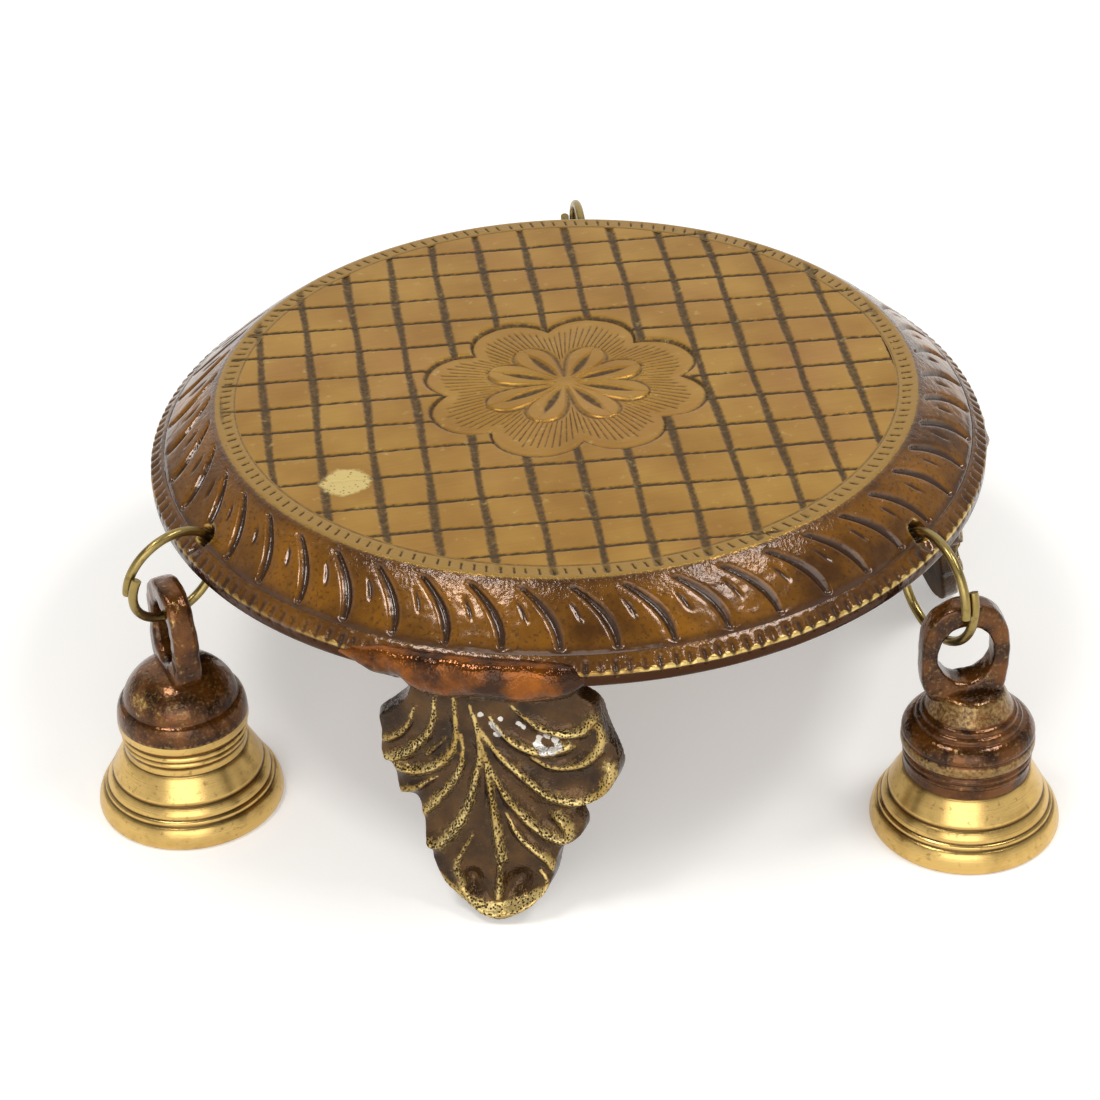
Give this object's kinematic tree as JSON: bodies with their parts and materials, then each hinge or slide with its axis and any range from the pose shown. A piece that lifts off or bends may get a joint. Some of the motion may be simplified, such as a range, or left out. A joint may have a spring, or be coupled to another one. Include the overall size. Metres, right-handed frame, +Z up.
{
  "type": "bajot low table",
  "caption": "Low round cast table with an engraved flat plate, fluted sloping border, acanthus leaf legs hooked over the rim, and bells hung from wire rings.",
  "frame": {"origin": "centre of the top's flat upper face", "axes": "+Z up out of the plate, +X towards one of the two hind legs"},
  "size_m": [0.2596, 0.2714, 0.094],
  "materials": {
    "top_brass": "satin, darkened in the engraving",
    "leaf_brass": "dark lacquer worn to bright brass on the ribs",
    "ring_brass": "polished wire",
    "bell_brass": "turned satin, lacquered above",
    "clapper_iron": "dull",
    "screw_steel": "dull"
  },
  "bodies": {
    "base": {"table_top": "top_brass", "leg_1": "leaf_brass", "leg_2": "leaf_brass", "leg_3": "leaf_brass", "leg_1_screw_1": "screw_steel", "leg_1_screw_2": "screw_steel", "leg_2_screw_1": "screw_steel", "leg_2_screw_2": "screw_steel", "leg_3_screw_1": "screw_steel", "leg_3_screw_2": "screw_steel"},
    "right_ring": {"right_ring": "ring_brass"},
    "right_bell": {"right_bell": "bell_brass", "right_clapper_staple": "ring_brass"},
    "right_clapper": {"right_clapper": "clapper_iron"},
    "left_ring": {"left_ring": "ring_brass"},
    "left_bell": {"left_bell": "bell_brass", "left_clapper_staple": "ring_brass"},
    "left_clapper": {"left_clapper": "clapper_iron"},
    "back_ring": {"back_ring": "ring_brass"},
    "back_bell": {"back_bell": "bell_brass", "back_clapper_staple": "ring_brass"},
    "back_clapper": {"back_clapper": "clapper_iron"}
  },
  "joints": [
    {"name": "right_ring_swing", "type": "hinge", "parent": "base", "child": "right_ring", "pos_m": [0.0701, -0.0815, -0.01276], "axis": [-0.9703, -0.2419, 0], "range_deg": [-25, 20]},
    {"name": "left_ring_swing", "type": "hinge", "parent": "base", "child": "left_ring", "pos_m": [-0.10408, -0.02692, -0.01276], "axis": [-0.3978, 0.8936, 0.2079], "range_deg": [-25, 15]},
    {"name": "back_ring_swing", "type": "hinge", "parent": "base", "child": "back_ring", "pos_m": [0.03322, 0.10224, -0.01276], "axis": [0.9945, -0.1045, 0], "range_deg": [-25, 20]},
    {"name": "right_bell_swing", "type": "hinge", "parent": "right_ring", "child": "right_bell", "pos_m": [0.07456, -0.09939, -0.03623], "axis": [0.9903, -0.1392, 0], "range_deg": [-30, 1.5]},
    {"name": "left_bell_swing", "type": "hinge", "parent": "left_ring", "child": "left_bell", "pos_m": [-0.11647, -0.02776, -0.03284], "axis": [0.165, -0.9863, 0], "range_deg": [-18, 8]},
    {"name": "back_bell_swing", "type": "hinge", "parent": "back_ring", "child": "back_bell", "pos_m": [0.03518, 0.12092, -0.036], "axis": [-0.9976, -0.0698, 0], "range_deg": [-30, 5]},
    {"name": "right_clapper_swing", "type": "hinge", "parent": "right_bell", "child": "right_clapper", "pos_m": [0.07986, -0.10003, -0.063], "axis": [0.9903, -0.1392, 0], "range_deg": [-34, 34]},
    {"name": "left_clapper_swing", "type": "hinge", "parent": "left_bell", "child": "left_clapper", "pos_m": [-0.11649, -0.02711, -0.063], "axis": [0.165, -0.9863, 0], "range_deg": [-34, 34]},
    {"name": "back_clapper_swing", "type": "hinge", "parent": "back_bell", "child": "back_clapper", "pos_m": [0.03623, 0.1209, -0.063], "axis": [-0.9976, -0.0698, 0], "range_deg": [-34, 34]}
  ]
}
